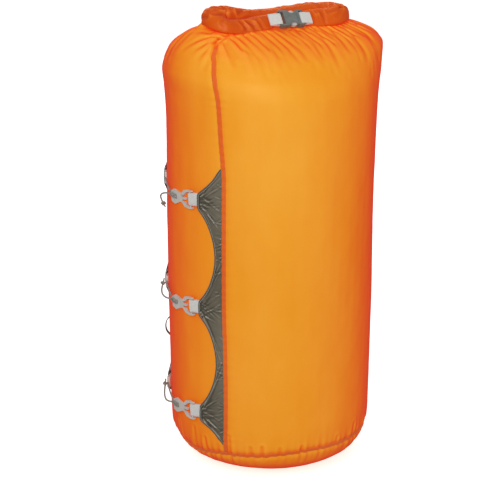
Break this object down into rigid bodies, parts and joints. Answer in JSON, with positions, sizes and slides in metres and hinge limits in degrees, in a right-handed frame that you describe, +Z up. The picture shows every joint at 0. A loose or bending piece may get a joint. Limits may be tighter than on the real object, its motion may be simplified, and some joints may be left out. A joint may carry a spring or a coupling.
{
  "type": "compression sack",
  "caption": "Upright roll-top compression sack with a buckled, ring-shaped closure and corded side flaps that hook onto webbing tabs.",
  "frame": {"origin": "centre of the round base, on the face it stands on", "axes": "+Z up along the sack, X along the rolled closure, -Y towards the buckle, compression side at -X"},
  "size_m": [0.3352, 0.303, 0.6942],
  "materials": {
    "shell_fabric": "satin",
    "seam_tape": "satin",
    "flap_fabric": "satin",
    "flap_binding": "matte",
    "webbing": "matte",
    "dark_webbing": "matte",
    "hook_plastic": "satin",
    "buckle_plastic": "satin",
    "prong_plastic": "satin",
    "cord": "matte",
    "stiffener": "matte"
  },
  "bodies": {
    "bag": {"base_panel": "shell_fabric", "base_seam_tape": "seam_tape", "buckle_socket": "buckle_plastic", "closure_stiffener": "stiffener", "cord_lower": "cord", "cord_middle": "cord", "cord_tail_lower": "cord", "cord_tail_middle": "cord", "cord_tail_upper": "cord", "cord_upper": "cord", "front_flap": "flap_fabric", "front_flap_binding": "flap_binding", "front_seam_tape": "seam_tape", "front_web_loop_lower": "webbing", "front_web_loop_middle": "webbing", "front_web_loop_upper": "webbing", "knot_lower": "cord", "knot_middle": "cord", "knot_upper": "cord", "main_panel": "shell_fabric", "rear_flap": "flap_fabric", "rear_flap_binding": "flap_binding", "rear_seam_tape": "seam_tape", "rear_web_loop_lower": "webbing", "rear_web_loop_middle": "webbing", "rear_web_loop_upper": "webbing", "roll_back": "shell_fabric", "roll_left": "shell_fabric", "side_loop": "dark_webbing", "side_panel": "shell_fabric", "web_left": "webbing"},
    "release_end": {"buckle_plug": "buckle_plastic", "web_right": "webbing", "roll_right": "shell_fabric"},
    "upper_prong": {"prong_upper": "prong_plastic"},
    "lower_prong": {"prong_lower": "prong_plastic"},
    "upper_hook": {"hook_upper": "hook_plastic"},
    "middle_hook": {"hook_middle": "hook_plastic"},
    "lower_hook": {"hook_lower": "hook_plastic"}
  },
  "joints": [
    {"name": "buckle_release", "type": "slide", "parent": "bag", "child": "release_end", "axis": [0.9995, 0, -0.0314], "range_m": [0, 0.022]},
    {"name": "prong_upper_flex", "type": "hinge", "parent": "release_end", "child": "upper_prong", "pos_m": [0.02756, -0.02989, 0.6817], "axis": [0.0226, -0.6947, 0.719], "range_deg": [0, 6], "stiffness_Nm_per_rad": 0.05},
    {"name": "prong_lower_flex", "type": "hinge", "parent": "release_end", "child": "lower_prong", "pos_m": [0.02722, -0.04111, 0.67087], "axis": [-0.0226, 0.6947, -0.719], "range_deg": [0, 6], "stiffness_Nm_per_rad": 0.05},
    {"name": "hook_upper_swivel", "type": "hinge", "parent": "bag", "child": "upper_hook", "pos_m": [-0.14694, -0.05421, 0.429], "axis": [-0.0243, 0.1194, 0.9925], "range_deg": [0, 30]},
    {"name": "hook_middle_swivel", "type": "hinge", "parent": "bag", "child": "middle_hook", "pos_m": [-0.14694, -0.05421, 0.266], "axis": [-0.0243, 0.1194, 0.9925], "range_deg": [0, 30]},
    {"name": "hook_lower_swivel", "type": "hinge", "parent": "bag", "child": "lower_hook", "pos_m": [-0.14694, -0.05421, 0.102], "axis": [-0.0243, 0.1194, 0.9925], "range_deg": [0, 30]}
  ],
  "couplings": [
    {"joint": "prong_lower_flex", "follows": "prong_upper_flex", "ratio": 1}
  ]
}
